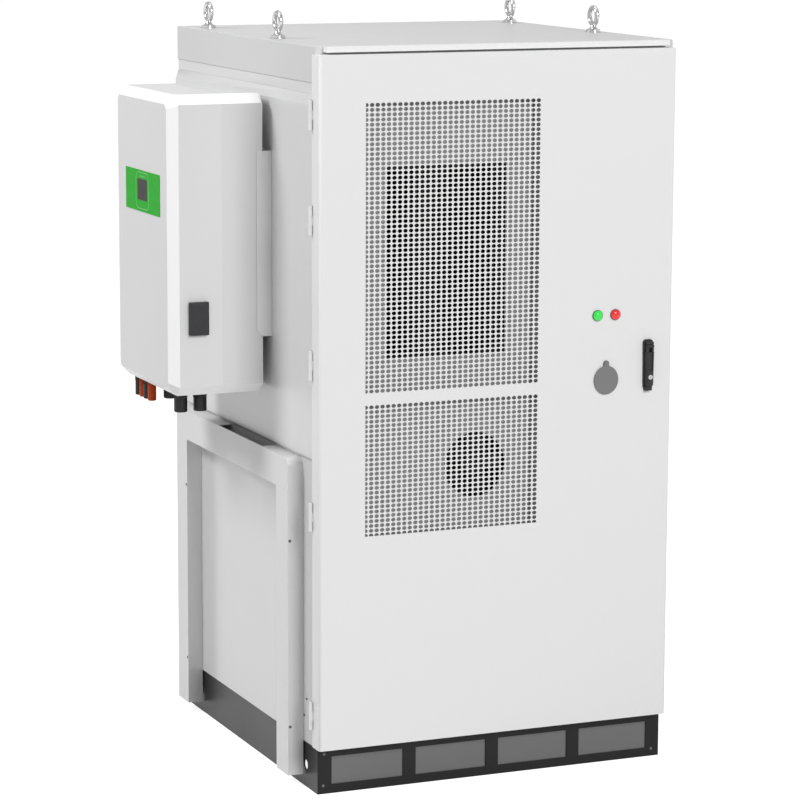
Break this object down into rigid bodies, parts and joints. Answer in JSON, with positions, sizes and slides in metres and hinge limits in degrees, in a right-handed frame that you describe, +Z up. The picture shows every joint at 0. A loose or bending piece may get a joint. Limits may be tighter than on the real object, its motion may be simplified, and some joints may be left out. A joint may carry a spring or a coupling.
{
  "type": "battery energy storage cabinet",
  "caption": "Outdoor battery storage cabinet with a cooled front door, a swing handle lock, lifting eyes, a cable duct and a wall mounted inverter on its side.",
  "frame": {"origin": "on the floor, at the centre of the plinth's underside", "axes": "+X to the right as seen from the door, +Y from the door to the back, +Z up"},
  "size_m": [1.4755, 1.2805, 2.2829],
  "materials": {
    "door_paint": "light grey powder coat, semi gloss",
    "wall_paint": "light grey powder coat, semi gloss",
    "plinth_paint": "black powder coat",
    "window_grey": "mid grey powder coat",
    "galvanised": "zinc plated steel",
    "bright_steel": "polished steel",
    "cast_alloy": "light grey coated casting",
    "module_case": "dark grey coated aluminium",
    "coil_fins": "bare aluminium fins",
    "copper_link": "plated copper bar",
    "seal_rubber": "black foam rubber",
    "handle_plastic": "dark grey moulded plastic",
    "black_plastic": "black moulded plastic",
    "orange_plastic": "orange moulded plastic",
    "green_panel": "green glossy panel",
    "display_glass": "dark display window",
    "green_lens": "green translucent lens",
    "red_lens": "red translucent lens",
    "port_grey": "grey coated disc"
  },
  "bodies": {
    "cabinet": {"plinth_frame": "plinth_paint", "plinth_windows": "window_grey", "floor_plate": "galvanised", "corner_posts": "galvanised", "frame_rails": "galvanised", "front_trim": "wall_paint", "side_panels": "wall_paint", "rear_panel": "wall_paint", "wall_sheets": "wall_paint", "roof": "wall_paint", "rain_lip": "wall_paint", "lifting_rails": "galvanised", "lifting_eyes": "bright_steel", "door_seal": "seal_rubber", "hinge_brackets": "door_paint", "hinge_pins": "bright_steel", "lock_keepers": "galvanised", "battery_rack": "galvanised", "module_links": "copper_link", "high_voltage_box": "module_case", "duct_beam": "wall_paint", "duct_posts": "wall_paint", "inverter_case": "cast_alloy", "inverter_cover": "cast_alloy", "wall_bracket": "wall_paint", "inverter_panel": "green_panel", "inverter_display": "display_glass", "switch_box": "handle_plastic", "cable_glands": "black_plastic", "orange_terminals": "orange_plastic", "black_terminals": "black_plastic", "battery_module_1": "module_case", "battery_module_2": "module_case", "battery_module_3": "module_case", "battery_module_4": "module_case", "battery_module_5": "module_case"},
    "door": {"door_skin": "door_paint", "door_frame": "galvanised", "upper_grille": "door_paint", "lower_grille": "door_paint", "hinge_knuckles": "door_paint", "cooler_housing": "wall_paint", "cooler_coils": "coil_fins", "compressor": "plinth_paint", "lamp_bezels": "black_plastic", "green_lens": "green_lens", "red_lens": "red_lens", "port_collar": "port_grey", "handle_base": "handle_plastic", "lock_case": "galvanised", "rod_guides": "galvanised"},
    "handle_hub": {"handle_hub": "galvanised"},
    "handle_lever": {"handle_lever": "handle_plastic", "key_cylinder": "bright_steel"},
    "upper_lock_rod": {"upper_lock_rod": "galvanised"},
    "lower_lock_rod": {"lower_lock_rod": "galvanised"},
    "condenser_fan": {"condenser_fan": "black_plastic"},
    "circulation_fan": {"circulation_fan": "black_plastic"},
    "port_cover": {"port_cover": "port_grey"},
    "disconnect_knob": {"disconnect_knob": "orange_plastic"}
  },
  "joints": [
    {"name": "door_hinge", "type": "hinge", "parent": "cabinet", "child": "door", "pos_m": [-0.588, -0.603, 1.163], "axis": [0, 0, -1], "range_deg": [0, 120]},
    {"name": "handle_turn", "type": "hinge", "parent": "door", "child": "handle_hub", "pos_m": [0.473, -0.657, 1.293], "axis": [0, 1, 0], "range_deg": [0, 90]},
    {"name": "lever_lift", "type": "hinge", "parent": "handle_hub", "child": "handle_lever", "pos_m": [0.473, -0.676, 1.293], "axis": [-1, 0, 0], "range_deg": [0, 35]},
    {"name": "upper_rod_slide", "type": "slide", "parent": "door", "child": "upper_lock_rod", "axis": [0, 0, 1], "range_m": [0, 0.0252]},
    {"name": "lower_rod_slide", "type": "slide", "parent": "door", "child": "lower_lock_rod", "axis": [0, 0, -1], "range_m": [0, 0.0252]},
    {"name": "condenser_fan_spin", "type": "hinge", "parent": "door", "child": "condenser_fan", "pos_m": [-0.067, -0.58, 0.959], "axis": [0, 1, 0], "continuous": true},
    {"name": "circulation_fan_spin", "type": "hinge", "parent": "door", "child": "circulation_fan", "pos_m": [-0.163, -0.38, 1.88], "axis": [0, 1, 0], "continuous": true},
    {"name": "port_cover_swing", "type": "hinge", "parent": "door", "child": "port_cover", "pos_m": [0.335, -0.662, 1.247], "axis": [0, 1, 0], "range_deg": [-95, 95]},
    {"name": "disconnect_turn", "type": "hinge", "parent": "cabinet", "child": "disconnect_knob", "pos_m": [0.2, -0.29, 1.66], "axis": [0, 1, 0], "range_deg": [0, 90]}
  ],
  "couplings": [
    {"joint": "upper_rod_slide", "follows": "handle_turn", "m_per_rad": 0.016},
    {"joint": "lower_rod_slide", "follows": "handle_turn", "m_per_rad": 0.016}
  ]
}
